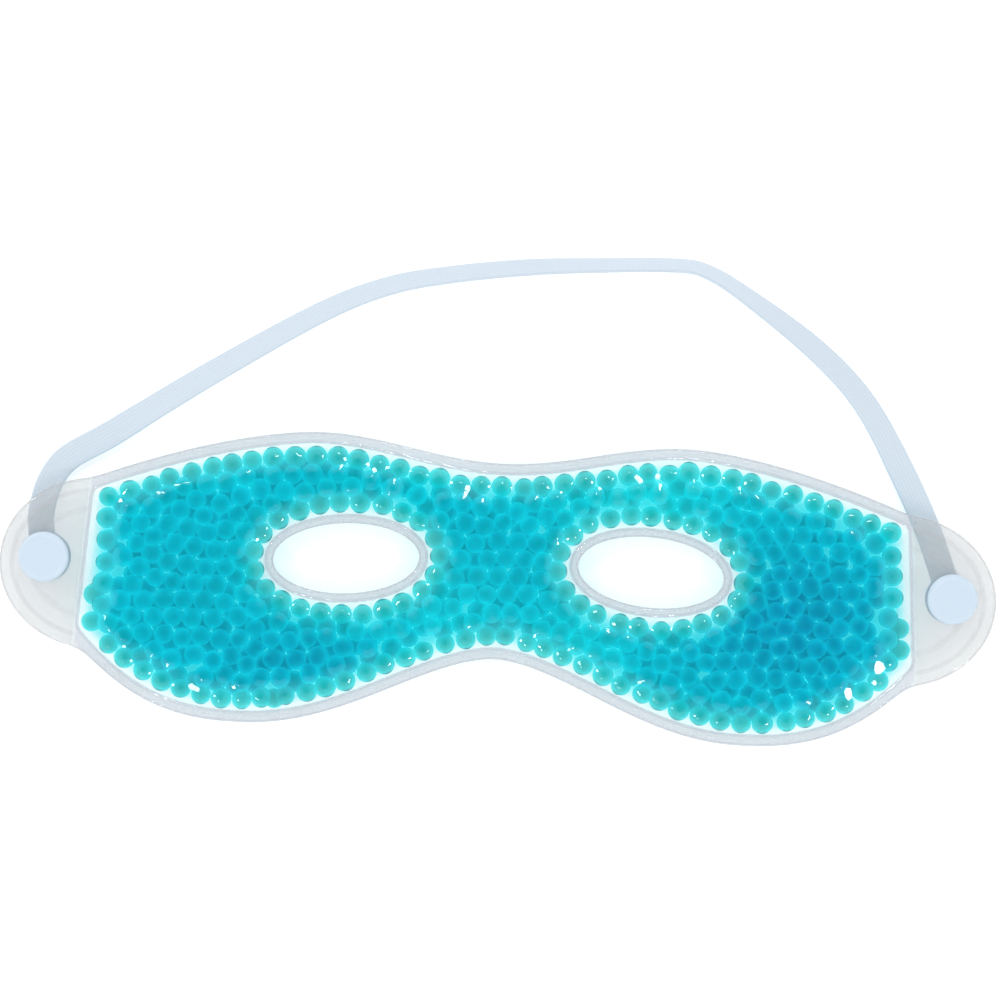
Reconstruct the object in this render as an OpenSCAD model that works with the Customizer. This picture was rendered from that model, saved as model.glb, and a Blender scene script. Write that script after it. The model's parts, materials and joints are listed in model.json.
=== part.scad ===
// Gel bead eye mask: two clear films welded round a pouch of gel beads, with
// two eye holes, and an elastic head strap held by a press stud at each end.
// Millimetres, +Z up. The mask lies with its face side down. The origin is in
// the middle of the nose bridge, on the plane that the pouch rests on, level
// with the middle of the eye holes. +X runs along the mask, +Y to its top edge.

/* [Pouch] */
// Half length of the pouch along its top edge
pouch_half = 97; // [88:0.5:118]
// How far the pouch's lower corners lie outside its upper ones
end_lean = 2.6; // [0:0.2:6]
// How far the chamber's outline reaches past the pouch's corners, into the tabs
end_reach = 3.4; // [2:0.2:4]
// Height of the top edge above the eye line, at the nose bridge
bridge_top = 24.4; // [22:0.2:30]
// Depth of the bottom edge below the eye line, at the nose bridge
bridge_drop = 22.4; // [20:0.2:28]
// Distance from the middle to the highest point of the brow
brow_x = 44; // [38:0.5:54]
// Height of the brow above the eye line
brow_top = 30; // [27:0.2:37]
// Distance from the middle to the lowest point of the cheek
cheek_x = 60; // [50:0.5:74]
// Depth of the cheek below the eye line
cheek_drop = 40.4; // [34:0.2:49]
// Height of the pouch's upper corners above the eye line
corner_top = 17; // [15:0.2:21]
// Depth of the pouch's lower corners below the eye line
corner_drop = 24; // [20:0.2:29]

/* [Eye holes] */
// Distance from the middle of the mask to the middle of an eye hole
eye_x = 36.6; // [33:0.2:44]
// Length of an eye hole
eye_length = 35; // [29:0.5:42]
// Height of an eye hole
eye_height = 16.8; // [14:0.2:20.4]
// Angle by which the outer end of an eye hole droops
eye_droop = 3.9; // [0:0.1:10]

/* [Film] */
// Thickness of one clear film
film_t = 0.4; // [0.25:0.05:0.6]
// Width of the welded seam round the pouch
seam_w = 2.5; // [1.5:0.1:4]
// Width of the welded seam round an eye hole
eye_seam_w = 2; // [1.5:0.1:3]
// Width over which the pouch rises from the seam to its full thickness
dome_w = 7; // [6:0.25:9]
// Reach of an end tab beyond the pouch's upper corner
tab_reach = 22.7; // [19:0.1:27]
// Half height of an end tab
tab_half = 20.5; // [17:0.1:24.6]
// Height of an end tab's middle above the eye line
tab_y = -4; // [-8:0.5:0]

/* [Beads] */
// Diameter of one gel bead
bead_d = 4.8; // [4:0.1:5.8]
// Least free space round a bead
bead_gap = 0.1; // [0.05:0.05:0.2]
// Free space between the seam and the row of beads along it
rim_gap = 1.3; // [1.2:0.1:2.5]

/* [Press studs] */
// Distance of a press stud from the pouch's upper corner
snap_reach = 12; // [10:0.5:14]
// Height of a press stud above the eye line
snap_y = -3; // [-6:0.5:0]
// Diameter of the caps on both sides of a press stud
cap_d = 12; // [10.6:0.2:14.4]
// Thickness of a cap
cap_t = 1.3; // [1.1:0.05:1.6]
// Diameter of the post in the middle of a cap
post_d = 2.6; // [2:0.1:3]
// Diameter of the riveted head on a post
rivet_d = 3.8; // [3.4:0.1:4.2]
// Thickness of the riveted head on a post
rivet_t = 0.4; // [0.3:0.05:0.5]
// Diameter of the socket
socket_d = 10.4; // [9:0.1:11]
// Height of the socket
socket_h = 2.2; // [2.1:0.05:2.8]
// Thickness of the socket's closed end
socket_web = 0.6; // [0.5:0.05:0.8]
// Diameter of the stud's flange
stud_d = 10; // [8.5:0.1:11]
// Thickness of the stud's flange
stud_base_t = 1; // [0.8:0.05:1.3]
// Diameter of the stud's knob, which snaps into the socket
knob_d = 5.2; // [4.8:0.1:6]
// Radial clearance between parts that turn in each other
turn_fit = 0.05; // [0.02:0.01:0.1]
// Free space between the closed faces of the stud and the socket
snap_gap = 0.1; // [0.05:0.05:0.2]

/* [Strap] */
// Width of the elastic strap
strap_w = 6.4; // [5.3:0.1:8]
// Thickness of the elastic strap
strap_t = 0.9; // [0.7:0.05:1.2]
// How far the strap's arc rises above the press studs
strap_rise = 77; // [64:1:93]
// Height above the press studs at which the strap folds behind the head
fold_rise = 27.5; // [25:0.5:31]
// Length of strap left over past the middle of a press stud
strap_tail = 2; // [1:0.25:4]
// Free space beside the strap at the fold and under the caps
strap_gap = 0.05; // [0.03:0.01:0.1]

/* [Hidden] */
$fn = 64;

film_colour = [0.86, 0.94, 0.96, 0.4];
bead_colour = [0.05, 0.72, 0.82];
rim_bead_colour = [0.3, 0.78, 0.78];
plastic_colour = [0.82, 0.9, 0.97];
strap_colour = [0.85, 0.9, 0.96];

// Heights, stacked from the table up
strap_z = cap_t + strap_gap + strap_t / 2;
stud_z = cap_t + strap_t + 2 * strap_gap;
socket_z = stud_z + stud_base_t + snap_gap;
seam_z = socket_z + socket_h + film_t;
front_z = seam_z + film_t;
back_drop = seam_z - film_t;

// Press studs
snap_x = pouch_half + snap_reach;
bore_d = knob_d + 2 * turn_fit;
post_hole_d = post_d + 2 * turn_fit;
knob_h = socket_h - socket_web - rivet_t + snap_gap - turn_fit;
recess_d = rivet_d + 2 * turn_fit;
recess_h = rivet_t + turn_fit;
cap_round = 0.5;
cut = 1;

// Outline of the pouch
brow_fall = 1.6;
cheek_skew = 0.85;
cheek_fall = 2.5;
outline_steps = 22;
eye_steps = 32;
dome_steps = 4;

// Beads
bead_r = bead_d / 2;
bead_pitch = bead_d + 2 * bead_gap;
row_pitch = bead_pitch * sqrt(3) / 2;
layer_pitch = sqrt(2 / 3) * bead_pitch;
rim_inset = rim_gap + bead_r;
lower_z = film_t + bead_gap + bead_r;
upper_z = lower_z + layer_pitch + bead_gap;

// Height inside the pouch above the seam, which holds both the upper layer
// and the row along the seam under the dome's second step
rim_step = 2;
front_rise = max(
    upper_z + bead_r + bead_gap - seam_z,
    (bead_r + bead_gap) / sin(90 * rim_step / dome_steps)
);

// Strap. Each row is a place on the route, from the left press stud to the
// right one: its x as a share of snap_x, its rise as a share of strap_rise,
// and the angle in degrees by which the strap leans on its outer edge there.
STRAP_ROUTE = [
    [-1, 0, 0], [-1.014, 0.14, 0], [-0.975, 0.29, 0], [-0.86, 0.4, 12],
    [-0.65, 0.6, 24], [-0.42, 0.8, 36], [-0.28, 0.89, 43], [-0.15, 0.935, 48],
    [0.03, 0.972, 51], [0.2, 0.99, 57], [0.36, 1, 58], [0.43, 0.985, 56],
    [0.52, 0.915, 49], [0.68, 0.755, 28], [0.79, 0.6, 20], [0.88, 0.39, 8],
    [0.95, 0.19, 0], [1, 0, 0]
];
route_steps = 5;
fold_y = snap_y + fold_rise;
fold_under = 110;
fold_ease = 10;
lift_ease = 20;

// Distance from the fold line to the strap's ends, which leaves room for the
// band to fold down and back under them by fold_under degrees
lap_clear = strap_t / 2 / tan((180 - fold_under) / 2) + 2 * strap_gap;

// ---- outline of the pouch ----

function ease(t) = (1 - cos(180 * t)) / 2;

function top_edge(x) = x < brow_x
    ? bridge_top + (brow_top - bridge_top) * ease(x / brow_x)
    : brow_top - (brow_top - corner_top)
        * pow((x - brow_x) / (pouch_half - brow_x), brow_fall);

function bottom_edge(x) = x < cheek_x
    ? -bridge_drop - (cheek_drop - bridge_drop) * ease(pow(x / cheek_x, cheek_skew))
    : -cheek_drop + (cheek_drop - corner_drop)
        * pow((x - cheek_x) / (pouch_half + end_lean - cheek_x), cheek_fall);

// Outline of the pouch, with its two ends moved out by reach
function pouch_outline(reach) = let (n = outline_steps) concat(
    [for (i = [-n:n]) let (x = i / n * (pouch_half + reach)) [x, top_edge(abs(x))]],
    [for (i = [n:-1:-n]) let (x = i / n * (pouch_half + end_lean + reach))
        [x, bottom_edge(abs(x))]]
);

function ellipse(a, b) = [
    for (i = [0:eye_steps - 1]) let (t = 360 * i / eye_steps) [a * cos(t), b * sin(t)]
];

function turned(points, angle, centre) = [
    for (p = points) [
        centre[0] + p[0] * cos(angle) - p[1] * sin(angle),
        centre[1] + p[0] * sin(angle) + p[1] * cos(angle)
    ]
];

// Outline of an eye hole, made larger all round by grow
function eye_outline(side, grow) = turned(
    ellipse(eye_length / 2 + grow, eye_height / 2 + grow),
    -side * eye_droop, [side * eye_x, 0]
);

module eye_area(grow) {
    for (side = [-1, 1])
        polygon(eye_outline(side, grow));
}

// The area where the films aren't welded, drawn in from the seam by inset
module chamber_area(inset) {
    difference() {
        offset(delta = -seam_w - inset)
            polygon(pouch_outline(end_reach));
        eye_area(eye_seam_w + inset);
    }
}

module film_area() {
    difference() {
        union() {
            polygon(pouch_outline(0));
            for (side = [-1, 1])
                translate([side * pouch_half, tab_y])
                    polygon(ellipse(tab_reach, tab_half));
        }
        eye_area(0);
        for (side = [-1, 1])
            translate([side * snap_x, snap_y])
                circle(d = post_hole_d);
    }
}

// ---- films ----

function dome_inset(k) = dome_w * (1 - cos(90 * (k - 0.5) / dome_steps));
function dome_height(k, rise) = rise * sin(90 * k / dome_steps);

// A welded sheet with the pouch's dome, which rises from the seam in steps
module film(rise) {
    difference() {
        union() {
            linear_extrude(film_t)
                film_area();
            for (k = [1:dome_steps])
                linear_extrude(dome_height(k, rise) + film_t)
                    chamber_area(dome_inset(k) - film_t);
        }
        for (k = [1:dome_steps])
            translate([0, 0, -cut])
                linear_extrude(dome_height(k, rise) + cut)
                    chamber_area(dome_inset(k));
    }
}

module front_film() {
    color(film_colour)
        translate([0, 0, seam_z])
            film(front_rise);
}

module back_film() {
    color(film_colour)
        translate([0, 0, seam_z])
            mirror([0, 0, 1])
                film(back_drop);
}

// ---- gel beads ----

function seg_dist(p, a, b) = let (
    ab = b - a,
    t = max(0, min(1, (p - a) * ab / max(ab * ab, 1e-9)))
) norm(p - a - t * ab);

function path_dist(p, path) = min([
    for (i = [0:len(path) - 1]) seg_dist(p, path[i], path[(i + 1) % len(path)])
]);

// True inside a closed path, by counting the edges that a ray crosses
function inside(p, path) = len([
    for (i = [0:len(path) - 1])
        let (a = path[i], b = path[(i + 1) % len(path)])
            if ((a[1] > p[1]) != (b[1] > p[1])
                && p[0] < a[0] + (b[0] - a[0]) * (p[1] - a[1]) / (b[1] - a[1])) i
]) % 2 == 1;

// A closed path moved sideways by d, without the points that land too close
function moved_in(path, d) = let (n = len(path)) [
    for (i = [0:n - 1]) let (
        t = path[(i + 1) % n] - path[(i + n - 1) % n],
        q = path[i] + [t[1], -t[0]] / norm(t) * d
    ) if (path_dist(q, path) > d - bead_gap) q
];

function lengths(path, i = 0, s = 0, out = []) = i > len(path)
    ? out
    : lengths(path, i + 1,
        s + norm(path[(i + 1) % len(path)] - path[i % len(path)]),
        concat(out, [s]));

// The places that leave room for a bead between each and the next
function thinned(places, i = 1, out = []) = i >= len(places)
    ? out
    : let (
        kept = len(out) == 0 ? [places[0]] : out,
        near = min(norm(places[i] - kept[len(kept) - 1]), norm(places[i] - kept[0]))
    ) thinned(places, i + 1, near > bead_d + bead_gap / 2 ? concat(kept, [places[i]]) : kept);

// Evenly spaced places along a closed path, a bead's pitch apart
function spaced(path, pitch) = let (
    n = len(path),
    s = lengths(path),
    count = floor(s[n] / pitch),
    xs = [for (i = [0:n]) [s[i], path[i % n][0]]],
    ys = [for (i = [0:n]) [s[i], path[i % n][1]]]
) thinned([
    for (k = [0:count - 1]) let (at = s[n] * k / count) [lookup(at, xs), lookup(at, ys)]
]);

// The row of beads along the seam, and a ring of beads round each eye hole
function rim_places() = concat(
    spaced(moved_in(pouch_outline(end_reach), seam_w + rim_inset), bead_pitch),
    [for (side = [-1, 1])
        each spaced(eye_outline(side, eye_seam_w + rim_inset), bead_pitch)]
);

// True where a bead of the inner layers has room under the dome
function roomy(p, outline) = inside(p, outline)
    && path_dist(p, outline) > seam_w + dome_w
    && min([for (side = [-1, 1]) let (eye = eye_outline(side, eye_seam_w))
        inside(p, eye) ? 0 : path_dist(p, eye)]) > dome_w;

function clear_of(p, z, places) = min([
    for (q = places) norm([p[0] - q[0], p[1] - q[1], z - seam_z])
]) > bead_d + bead_gap;

// One close-packed layer inside the rims, at height z and shifted by shift
function layer_places(z, shift) = let (
    rims = rim_places(),
    outline = pouch_outline(end_reach),
    columns = ceil((pouch_half + end_lean + end_reach) / bead_pitch),
    rows = ceil(max(cheek_drop, brow_top) / row_pitch)
) [
    for (j = [-rows:rows]) for (i = [-columns:columns]) let (
        p = [(i + (j % 2 == 0 ? 0 : 0.5)) * bead_pitch, j * row_pitch] + shift
    ) if (roomy(p, outline) && clear_of(p, z, rims)) p
];

module beads(places, z) {
    for (p = places)
        translate([p[0], p[1], z])
            sphere(d = bead_d, $fn = 24);
}

module rim_beads() {
    color(rim_bead_colour)
        beads(rim_places(), seam_z);
}

module lower_beads() {
    color(bead_colour)
        beads(layer_places(lower_z, [0, 0]), lower_z);
}

module upper_beads() {
    color(bead_colour)
        beads(layer_places(upper_z, [bead_pitch / 2, row_pitch / 3]), upper_z);
}

// ---- press studs ----

module at_snap(side) {
    translate([side * snap_x, snap_y, 0])
        children();
}

// A flat cap with a rounded edge, its post up and riveted at height grip
module cap_with_post(grip) {
    rotate_extrude()
        difference() {
            union() {
                offset(r = cap_round)
                    offset(delta = -cap_round)
                        translate([-cap_d / 2, 0])
                            square([cap_d, cap_t]);
                translate([0, cap_t / 2])
                    square([post_d / 2, cap_t / 2 + grip]);
                translate([0, cap_t + grip])
                    square([rivet_d / 2, rivet_t]);
            }
            translate([-cap_d, -cut])
                square([cap_d, cap_t + grip + rivet_t + 2 * cut]);
        }
}

module outer_cap(side) {
    color(plastic_colour)
        at_snap(side)
            translate([0, 0, front_z + cap_t])
                mirror([0, 0, 1])
                    cap_with_post(2 * film_t + socket_web);
}

module socket(side) {
    color(plastic_colour)
        at_snap(side)
            translate([0, 0, socket_z])
                difference() {
                    cylinder(d = socket_d, h = socket_h);
                    translate([0, 0, -cut])
                        cylinder(d = bore_d, h = socket_h - socket_web + cut);
                    cylinder(d = post_hole_d, h = socket_h + cut);
                }
}

module stud(side) {
    color(plastic_colour)
        at_snap(side)
            translate([0, 0, stud_z])
                difference() {
                    union() {
                        cylinder(d = stud_d, h = stud_base_t);
                        cylinder(d = knob_d, h = stud_base_t + knob_h);
                    }
                    translate([0, 0, -cut])
                        cylinder(d = post_hole_d, h = stud_base_t + knob_h + 2 * cut);
                    translate([0, 0, stud_base_t + knob_h - recess_h])
                        cylinder(d = recess_d, h = recess_h + cut);
                }
}

module back_cap(side) {
    color(plastic_colour)
        at_snap(side)
            cap_with_post(stud_z + stud_base_t + knob_h - recess_h - cap_t);
}

module left_cap() outer_cap(-1);
module right_cap() outer_cap(1);
module left_socket() socket(-1);
module right_socket() socket(1);
module left_stud() stud(-1);
module right_stud() stud(1);
module left_back_cap() back_cap(-1);
module right_back_cap() back_cap(1);

// ---- strap ----

// A smooth curve through four values, at t from 0 to 1 between the middle two
function spline(a, b, c, d, t) = b + 0.5 * t * (c - a
    + t * (2 * a - 5 * b + 4 * c - d + t * (3 * (b - c) + d - a)));

// Places along the strap's middle, each [x, y, lean]
function strap_places() = let (
    last = len(STRAP_ROUTE) - 1,
    keys = [for (r = STRAP_ROUTE) [r[0] * snap_x, snap_y + r[1] * strap_rise, r[2]]]
) [
    for (k = [0:last - 1]) for (i = [0:route_steps - (k == last - 1 ? 0 : 1)])
        spline(keys[max(k - 1, 0)], keys[k], keys[k + 1], keys[min(k + 2, last)],
            i / route_steps)
];

function flat_xy(p) = [p[0], p[1]];

// Direction across the strap at place i, in the plane, as a unit vector
function across(path, i) = let (
    t = flat_xy(path[min(i + 1, len(path) - 1)] - path[max(i - 1, 0)])
) [t[1], -t[0]] / norm(t);

// The stretch of the route from the left stud's side up to the fold line
function lap_places(side) = let (
    all = strap_places(),
    half = [for (p = all) if (p[0] * side > snap_x / 2) p],
    near = [for (p = half) if (p[1] < fold_y + strap_w) p],
    run = side < 0 ? near : [for (i = [len(near) - 1:-1:0]) near[i]],
    start = flat_xy(run[1] - run[0])
) concat([concat(flat_xy(run[0]) - start / norm(start) * strap_tail, [0])], run);

module lap_area(side) {
    run = lap_places(side);
    polygon(concat(
        [for (i = [0:len(run) - 1]) flat_xy(run[i]) + across(run, i) * strap_w / 2],
        [for (i = [len(run) - 1:-1:0]) flat_xy(run[i]) - across(run, i) * strap_w / 2]
    ));
    translate(flat_xy(run[0]))
        circle(d = strap_w);
}

// The strap's end, from the press stud to the fold
module strap_end(side) {
    color(strap_colour)
        translate([0, 0, strap_z - strap_t / 2])
            linear_extrude(strap_t)
                difference() {
                    lap_area(side);
                    translate([side * snap_x - snap_x, fold_y - lap_clear])
                        square([2 * snap_x, snap_x]);
                    translate([side * snap_x, snap_y])
                        circle(d = post_hole_d);
                }
}

module left_strap_end() strap_end(-1);
module right_strap_end() strap_end(1);

// Place where the route crosses the fold line between places a and b
function crossing(a, b) = a + (b - a) * (fold_y - a[1]) / (b[1] - a[1]);

// Places along the moving band, from fold to fold
function band_places() = let (
    all = strap_places(),
    above = [for (i = [0:len(all) - 1]) if (all[i][1] > fold_y + strap_w / 4) i],
    first = above[0],
    last = above[len(above) - 1]
) concat(
    [crossing(all[first - 1], all[first])],
    [for (i = [first:last]) all[i]],
    [crossing(all[last], all[last + 1])]
);

// The four corners of the band's cross-section at place i. It is cut square
// to the fold line at the fold, and square to the band further on.
function band_ring(path, i) = let (
    p = path[i],
    end_dist = min(norm(flat_xy(p - path[0])), norm(flat_xy(p - path[len(path) - 1]))),
    n = across(path, i),
    turn = ease(min(1, end_dist / fold_ease)),
    square_on = [n[0] < 0 ? -1 : 1, 0] * (1 - turn) + n * turn,
    wide = square_on / (square_on * n) * strap_w / 2,
    lean = p[2] * turn,
    low = strap_w / 2 * sin(lean) + strap_t / 2 * cos(lean),
    lift = (strap_z - strap_t / 2) * (1 - ease(min(1, end_dist / lift_ease))),
    c = [p[0], p[1], low + lift],
    w = [wide[0] * cos(lean), wide[1] * cos(lean), strap_w / 2 * sin(lean)],
    t = [-n[0] * sin(lean), -n[1] * sin(lean), cos(lean)] * strap_t / 2
) [c - w - t, c + w - t, c + w + t, c - w + t];

module fold_nose(at, n) {
    length = strap_w / abs(n[0]) - strap_t / 2;
    translate([at[0] - length / 2, fold_y, strap_z])
        rotate([0, 90, 0])
            cylinder(d = strap_t - strap_gap, h = length);
}

// The moving band: it folds behind the head about the line through its noses
module strap_band() {
    path = band_places();
    last = len(path) - 1;
    color(strap_colour) {
        polyhedron(
            points = [for (i = [0:last]) each band_ring(path, i)],
            faces = concat(
                [[0, 1, 2, 3]],
                [for (i = [0:last - 1]) for (k = [0:3]) let (a = 4 * i, b = (k + 1) % 4)
                    [a + k, a + 4 + k, a + 4 + b, a + b]],
                [[4 * last + 3, 4 * last + 2, 4 * last + 1, 4 * last]]
            )
        );
        fold_nose(path[0], across(path, 0));
        fold_nose(path[last], across(path, last));
    }
}

front_film();
back_film();
rim_beads();
lower_beads();
upper_beads();
left_cap();
right_cap();
left_socket();
right_socket();
left_stud();
right_stud();
left_back_cap();
right_back_cap();
left_strap_end();
right_strap_end();
strap_band();
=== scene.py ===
"""Gel bead eye mask: clear welded films draped over gel beads, with an elastic head strap.

Lengths are in millimetres, in the CAD frame: +X along the mask, +Y to its top edge, +Z up.
Meshes are scaled to metres as they are made.
"""
import json
import math

import bpy
import numpy as np
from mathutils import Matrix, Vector
from mathutils.geometry import delaunay_2d_cdt


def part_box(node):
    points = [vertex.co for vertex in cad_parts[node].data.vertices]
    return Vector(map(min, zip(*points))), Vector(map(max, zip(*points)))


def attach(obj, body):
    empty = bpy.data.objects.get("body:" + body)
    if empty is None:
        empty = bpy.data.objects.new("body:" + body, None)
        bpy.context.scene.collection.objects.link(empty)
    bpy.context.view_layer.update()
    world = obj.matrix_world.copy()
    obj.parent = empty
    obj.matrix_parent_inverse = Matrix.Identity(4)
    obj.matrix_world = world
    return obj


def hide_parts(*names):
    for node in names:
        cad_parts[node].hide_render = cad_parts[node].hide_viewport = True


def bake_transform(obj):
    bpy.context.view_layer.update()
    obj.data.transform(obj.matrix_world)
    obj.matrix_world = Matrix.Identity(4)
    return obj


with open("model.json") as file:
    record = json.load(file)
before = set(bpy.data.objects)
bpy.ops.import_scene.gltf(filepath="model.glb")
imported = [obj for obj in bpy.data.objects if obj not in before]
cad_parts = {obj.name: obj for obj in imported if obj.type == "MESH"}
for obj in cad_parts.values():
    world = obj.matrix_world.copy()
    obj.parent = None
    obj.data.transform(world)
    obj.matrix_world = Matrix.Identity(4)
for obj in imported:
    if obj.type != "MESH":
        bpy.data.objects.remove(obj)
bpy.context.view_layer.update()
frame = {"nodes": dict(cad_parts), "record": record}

MM = 0.001
SEED = 7


def box_mm(node):
    """A CAD node's lowest and highest corners, in millimetres."""
    low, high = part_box(node)
    return np.array(low) / MM, np.array(high) / MM


# ---- sizes taken from the frame ----
FRONT_LOW, FRONT_HIGH = box_mm("front_film")
CAP_LOW, CAP_HIGH = box_mm("right_cap")
BACK_CAP_HIGH = box_mm("right_back_cap")[1]
SOCKET_LOW, SOCKET_HIGH = box_mm("right_socket")
STUD_LOW, STUD_HIGH = box_mm("right_stud")
STRAP_LOW, STRAP_HIGH = box_mm("right_strap_end")
SEAM_Z = FRONT_LOW[2]
FILM_T = SEAM_Z - SOCKET_HIGH[2]
TOP_Z = FRONT_HIGH[2]
SNAP_X = (CAP_LOW[0] + CAP_HIGH[0]) / 2
SNAP_Y = (CAP_LOW[1] + CAP_HIGH[1]) / 2
CAP_R = (CAP_HIGH[0] - CAP_LOW[0]) / 2
SOCKET_R = (SOCKET_HIGH[0] - SOCKET_LOW[0]) / 2
STUD_R = (STUD_HIGH[0] - STUD_LOW[0]) / 2
STRAP_Z = (STRAP_LOW[2] + STRAP_HIGH[2]) / 2
STRAP_T = STRAP_HIGH[2] - STRAP_LOW[2]
TAB_END = FRONT_HIGH[0]
FOLD_JOINT = next(j for j in frame["record"]["behaviour"]["joints"] if j["name"] == "strap_fold")
FOLD_Y = FOLD_JOINT["pos_m"][1] / MM

# ---- the pouch's outline, as the CAD draws it ----
POUCH_HALF = 97.0
END_LEAN = 2.6
END_REACH = 3.4
BRIDGE_TOP = 24.4
BRIDGE_DROP = 22.4
BROW_X = 44.0
BROW_TOP = 30.0
CHEEK_X = 60.0
CHEEK_DROP = 40.4
CORNER_TOP = 17.0
CORNER_DROP = 24.0
BROW_FALL = 1.6
CHEEK_SKEW = 0.85
CHEEK_FALL = 2.5
EYE_X = 36.6
EYE_A = 17.5
EYE_B = 8.4
EYE_DROOP = math.radians(3.9)
TAB_Y = -4.0
TAB_HALF = 20.5
SEAM_W = 2.5
EYE_SEAM_W = 2.0
POST_R = 1.35

# The strap's route, as the CAD has it: x as a share of SNAP_X, rise as a share of
# STRAP_RISE, and the lean on its outer edge in degrees.
STRAP_ROUTE = [
    (-1, 0, 0), (-1.014, 0.14, 0), (-0.975, 0.29, 0), (-0.86, 0.4, 12),
    (-0.65, 0.6, 24), (-0.42, 0.8, 36), (-0.28, 0.89, 43), (-0.15, 0.935, 48),
    (0.03, 0.972, 51), (0.2, 0.99, 57), (0.36, 1, 58), (0.43, 0.985, 56),
    (0.52, 0.915, 49), (0.68, 0.755, 28), (0.79, 0.6, 20), (0.88, 0.39, 8),
    (0.95, 0.19, 0), (1, 0, 0),
]
STRAP_RISE = 77.0
STRAP_W = 6.4
STRAP_TAIL = 2.0
FOLD_EASE = 10.0
LIFT_EASE = 20.0


def srgb(*c):
    """A screen colour of 0 to 255 as the linear colour that shaders use."""
    c = np.array(c, float) / 255
    return np.where(c <= 0.04045, c / 12.92, ((c + 0.055) / 1.055) ** 2.4)


def ease(t):
    return (1 - np.cos(np.pi * t)) / 2


def top_edge(x):
    rise = BRIDGE_TOP + (BROW_TOP - BRIDGE_TOP) * ease(np.minimum(x / BROW_X, 1))
    along = np.maximum(x - BROW_X, 0) / (POUCH_HALF - BROW_X)
    return np.where(x < BROW_X, rise, BROW_TOP - (BROW_TOP - CORNER_TOP) * along ** BROW_FALL)


def bottom_edge(x):
    drop = -BRIDGE_DROP - (CHEEK_DROP - BRIDGE_DROP) * ease(
        np.minimum(x / CHEEK_X, 1) ** CHEEK_SKEW)
    along = np.maximum(x - CHEEK_X, 0) / (POUCH_HALF + END_LEAN - CHEEK_X)
    fall = -CHEEK_DROP + (CHEEK_DROP - CORNER_DROP) * along ** CHEEK_FALL
    return np.where(x < CHEEK_X, drop, fall)


def pouch_loop(reach=0.0, n=240):
    """The pouch's outline, its slanted ends moved out by reach, clockwise from the top left."""
    t = np.linspace(-1, 1, n)
    top = np.stack([t * (POUCH_HALF + reach), top_edge(abs(t) * (POUCH_HALF + reach))], 1)
    low = POUCH_HALF + END_LEAN + reach
    bottom = np.stack([-t * low, bottom_edge(abs(t) * low)], 1)
    return np.concatenate([top, bottom])


def eye_loop(side, grow, n=120):
    t = np.linspace(0, 2 * np.pi, n, endpoint=False)
    p = np.stack([(EYE_A + grow) * np.cos(t), (EYE_B + grow) * np.sin(t)], 1)
    c, s = math.cos(-side * EYE_DROOP), math.sin(-side * EYE_DROOP)
    return p @ np.array([[c, s], [-s, c]]) + [side * EYE_X, 0]


def tab_loop(side, n=160):
    t = np.linspace(0, 2 * np.pi, n, endpoint=False)
    reach = TAB_END - POUCH_HALF
    return np.stack([side * POUCH_HALF + reach * np.cos(t), TAB_Y + TAB_HALF * np.sin(t)], 1)


def inside(points, loop):
    """True for each point inside a closed loop."""
    x, y = points[:, 0], points[:, 1]
    odd = np.zeros(len(points), bool)
    for (ax, ay), (bx, by) in zip(loop, np.roll(loop, -1, 0)):
        if ay != by:
            odd ^= ((ay > y) != (by > y)) & (x < ax + (bx - ax) * (y - ay) / (by - ay))
    return odd


def distance(points, loop):
    """Distance from each point to a closed loop."""
    best = np.full(len(points), np.inf)
    for a, b in zip(loop, np.roll(loop, -1, 0)):
        ab = b - a
        t = np.clip(((points - a) @ ab) / max(ab @ ab, 1e-12), 0, 1)
        d = points - a - t[:, None] * ab
        best = np.minimum(best, (d * d).sum(1))
    return np.sqrt(best)


def spaced(loop, step):
    """The loop again, with evenly spaced points about step apart."""
    ring = np.vstack([loop, loop[:1]])
    s = np.concatenate([[0], np.cumsum(np.linalg.norm(np.diff(ring, axis=0), axis=1))])
    at = np.linspace(0, s[-1], max(8, round(s[-1] / step)), endpoint=False)
    return np.stack([np.interp(at, s, ring[:, k]) for k in (0, 1)], 1)


def rounded(loop, passes):
    for _ in range(passes):
        loop = (np.roll(loop, 1, 0) + 2 * loop + np.roll(loop, -1, 0)) / 4
    return loop


def film_loop(step):
    """The film's outer edge: the pouch's outline and both tabs, with soft inner corners."""
    pouch = pouch_loop()
    tabs = [tab_loop(side) for side in (-1, 1)]
    kept = [pouch[~(inside(pouch, tabs[0]) | inside(pouch, tabs[1]))]]
    kept += [tab[~inside(tab, pouch)] for tab in tabs]
    points = np.concatenate(kept)
    around = np.argsort(np.arctan2(points[:, 1] + 5, points[:, 0]))
    return spaced(rounded(spaced(points[around], step), 24), step)


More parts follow.
